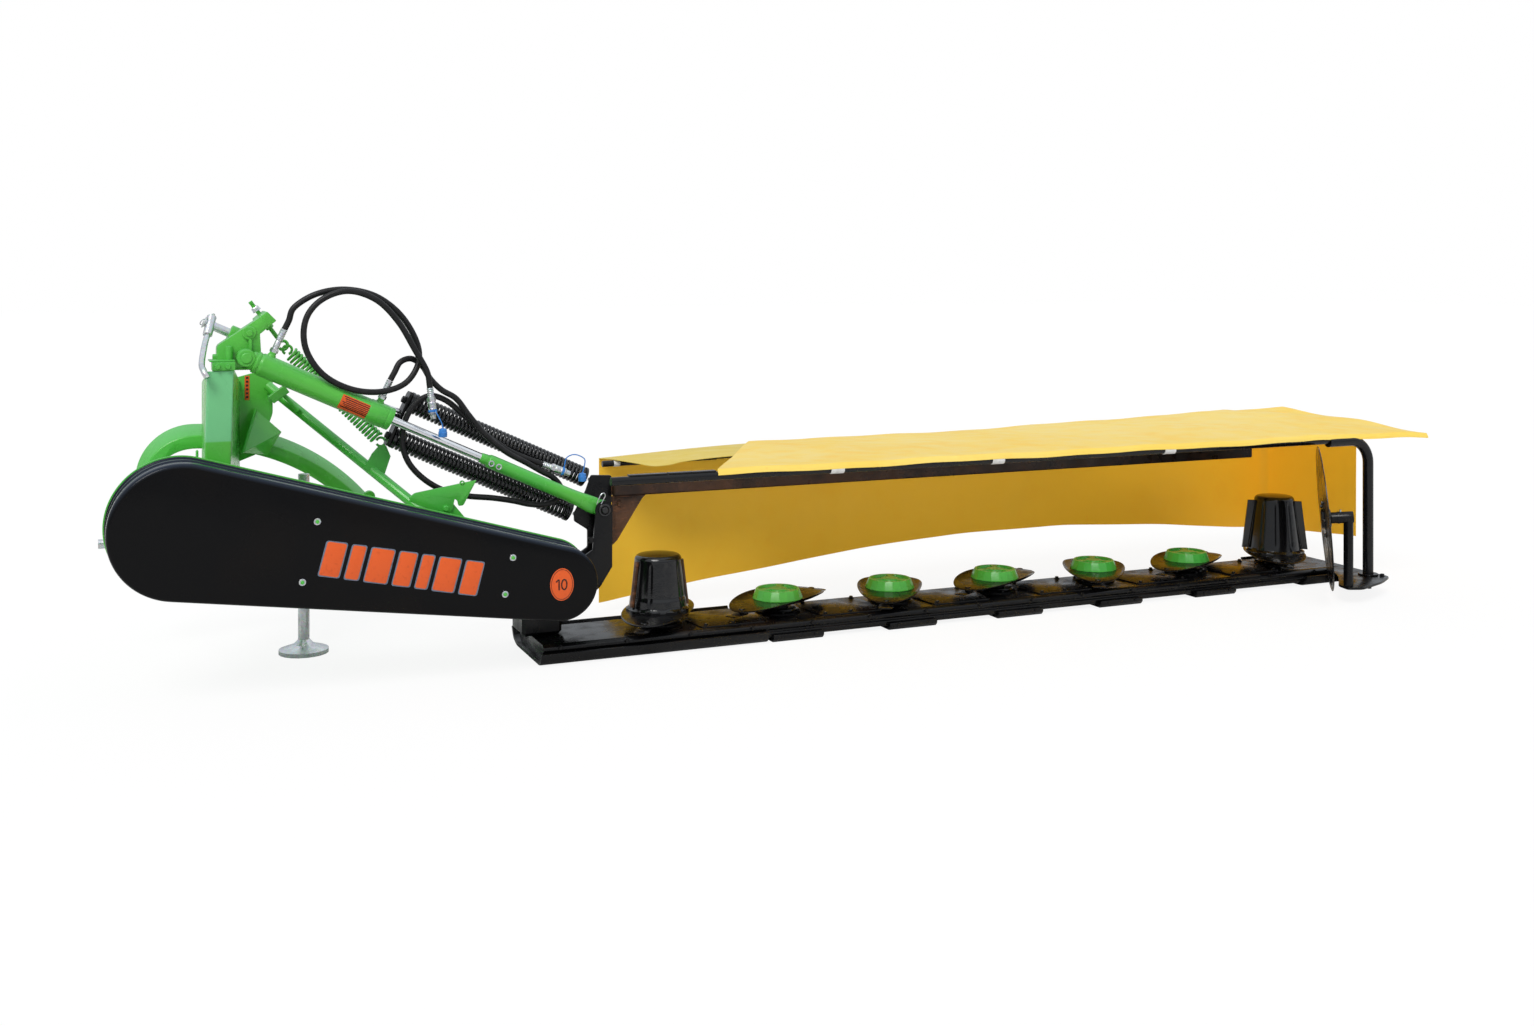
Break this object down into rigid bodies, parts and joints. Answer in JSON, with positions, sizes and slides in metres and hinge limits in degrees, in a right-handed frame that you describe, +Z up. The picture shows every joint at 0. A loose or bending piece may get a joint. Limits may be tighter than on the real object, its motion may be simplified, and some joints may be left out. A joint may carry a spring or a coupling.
{
  "type": "disc mower",
  "caption": "Rear-mounted disc mower: hitch frame, belt drive, lift cylinder and a folding cutter bar with discs under a yellow cloth cover.",
  "frame": {"origin": "on the ground under the axis of the inner rotor, the sole of the inner shoe being at z = 0", "axes": "+X along the cutter bar to its outer end, +Y forward to the tractor, +Z up"},
  "size_m": [4.42, 1.1017, 1.0892],
  "materials": {
    "green_paint": "satin green paint",
    "black_paint": "gloss black paint",
    "bright_steel": "bright plated steel",
    "dark_iron": "dark cast iron",
    "black_rubber": "matt black rubber",
    "blue_plastic": "blue plastic",
    "yellow_cloth": "coated yellow cloth"
  },
  "bodies": {
    "headstock": {"hitch_arch": "green_paint", "mast": "green_paint", "lower_hitch_pin_left": "bright_steel", "lower_hitch_pin_right": "bright_steel", "head_bracket": "green_paint", "head_pin": "green_paint", "eye_bolt": "green_paint", "tension_spring": "green_paint", "brace_tube": "green_paint", "guard_back_plate": "green_paint", "guard_cover": "black_paint", "drive_belt": "black_rubber", "bearing_housing": "green_paint", "carrier_beam": "green_paint", "stand_sleeve": "green_paint"},
    "stand": {"parking_stand": "bright_steel"},
    "hook": {"transport_hook": "green_paint"},
    "link_pin": {"top_link_pin": "bright_steel"},
    "cylinder": {"cylinder_barrel": "green_paint", "tie_rod": "bright_steel", "spring_yoke": "black_paint", "balance_spring_upper": "black_paint", "balance_spring_lower": "black_paint", "hose_a": "black_rubber", "hose_b": "black_rubber", "coupler_a": "bright_steel", "coupler_b": "bright_steel", "dust_cap_a": "blue_plastic", "dust_cap_b": "blue_plastic"},
    "rod": {"cylinder_rod": "bright_steel", "rod_tube": "green_paint"},
    "input": {"drive_pulley": "dark_iron", "input_shaft": "bright_steel"},
    "driven": {"driven_pulley": "dark_iron"},
    "mower": {"gearbox": "black_paint", "hinge_bracket": "black_paint", "cutter_bar": "black_paint", "inner_shoe": "black_paint", "outer_shoe": "black_paint", "cover_beam": "black_paint", "cover_rails": "black_paint", "cover_hoop": "black_paint", "canopy": "yellow_cloth", "front_curtain": "yellow_cloth", "swath_post": "black_paint"},
    "swath": {"swath_disc": "black_paint"},
    "rotor_1": {"disc_1": "black_paint", "inner_cone": "black_paint"},
    "rotor_2": {"disc_2": "black_paint", "cap_2": "green_paint"},
    "rotor_3": {"disc_3": "black_paint", "cap_3": "green_paint"},
    "rotor_4": {"disc_4": "black_paint", "cap_4": "green_paint"},
    "rotor_5": {"disc_5": "black_paint", "cap_5": "green_paint"},
    "rotor_6": {"disc_6": "black_paint", "cap_6": "green_paint"},
    "rotor_7": {"disc_7": "black_paint", "outer_cone": "black_paint"}
  },
  "joints": [
    {"name": "stand_slide", "type": "slide", "parent": "headstock", "child": "stand", "axis": [0, 0, 1], "range_m": [0, 0.13]},
    {"name": "hook_swing", "type": "hinge", "parent": "headstock", "child": "hook", "pos_m": [-0.66, -0.0354, 0.455], "axis": [0, -1, 0], "range_deg": [0, 40]},
    {"name": "link_pin_slide", "type": "slide", "parent": "headstock", "child": "link_pin", "axis": [-0.9051, 0, 0.4251], "range_m": [0, 0.06]},
    {"name": "fold", "type": "hinge", "parent": "headstock", "child": "mower", "pos_m": [-0.37, 0, 0.249], "axis": [0, -1, 0], "range_deg": [-8, 70], "deforming": ["balance_spring_upper", "balance_spring_lower", "hose_b", "coupler_b", "dust_cap_b"]},
    {"name": "cylinder_swing", "type": "hinge", "parent": "headstock", "child": "cylinder", "pos_m": [-1.198, 0, 0.894], "axis": [0, -1, 0], "range_deg": [-4.09, 0.56]},
    {"name": "rod_slide", "type": "slide", "parent": "cylinder", "child": "rod", "axis": [0.9052, 0, -0.425], "range_m": [-0.2817, 0.0326]},
    {"name": "input_spin", "type": "hinge", "parent": "headstock", "child": "input", "pos_m": [-1.376, 0, 0.463], "axis": [0, 1, 0], "continuous": true},
    {"name": "driven_spin", "type": "hinge", "parent": "headstock", "child": "driven", "pos_m": [-0.37, 0, 0.249], "axis": [0, 1, 0], "continuous": true},
    {"name": "swath_spin", "type": "hinge", "parent": "mower", "child": "swath", "pos_m": [2.28, -0.381, 0.2855], "axis": [0.7718, -0.6295, 0.0896], "continuous": true},
    {"name": "rotor_1_spin", "type": "hinge", "parent": "mower", "child": "rotor_1", "pos_m": [0, 0, 0.1], "axis": [0, 0, 1], "continuous": true},
    {"name": "rotor_2_spin", "type": "hinge", "parent": "mower", "child": "rotor_2", "pos_m": [0.4, 0, 0.1], "axis": [0, 0, 1], "continuous": true},
    {"name": "rotor_3_spin", "type": "hinge", "parent": "mower", "child": "rotor_3", "pos_m": [0.8, 0, 0.1], "axis": [0, 0, 1], "continuous": true},
    {"name": "rotor_4_spin", "type": "hinge", "parent": "mower", "child": "rotor_4", "pos_m": [1.2, 0, 0.1], "axis": [0, 0, 1], "continuous": true},
    {"name": "rotor_5_spin", "type": "hinge", "parent": "mower", "child": "rotor_5", "pos_m": [1.6, 0, 0.1], "axis": [0, 0, 1], "continuous": true},
    {"name": "rotor_6_spin", "type": "hinge", "parent": "mower", "child": "rotor_6", "pos_m": [2, 0, 0.1], "axis": [0, 0, 1], "continuous": true},
    {"name": "rotor_7_spin", "type": "hinge", "parent": "mower", "child": "rotor_7", "pos_m": [2.4, 0, 0.1], "axis": [0, 0, 1], "continuous": true}
  ],
  "couplings": [
    {"joint": "cylinder_swing", "follows": "fold", "ratio": -0.057},
    {"joint": "rod_slide", "follows": "fold", "m_per_rad": -0.2302},
    {"joint": "driven_spin", "follows": "input_spin", "ratio": 1.875},
    {"joint": "rotor_1_spin", "follows": "input_spin", "ratio": 5.55},
    {"joint": "rotor_2_spin", "follows": "input_spin", "ratio": -5.55},
    {"joint": "rotor_3_spin", "follows": "input_spin", "ratio": 5.55},
    {"joint": "rotor_4_spin", "follows": "input_spin", "ratio": -5.55},
    {"joint": "rotor_5_spin", "follows": "input_spin", "ratio": 5.55},
    {"joint": "rotor_6_spin", "follows": "input_spin", "ratio": -5.55},
    {"joint": "rotor_7_spin", "follows": "input_spin", "ratio": 5.55}
  ]
}
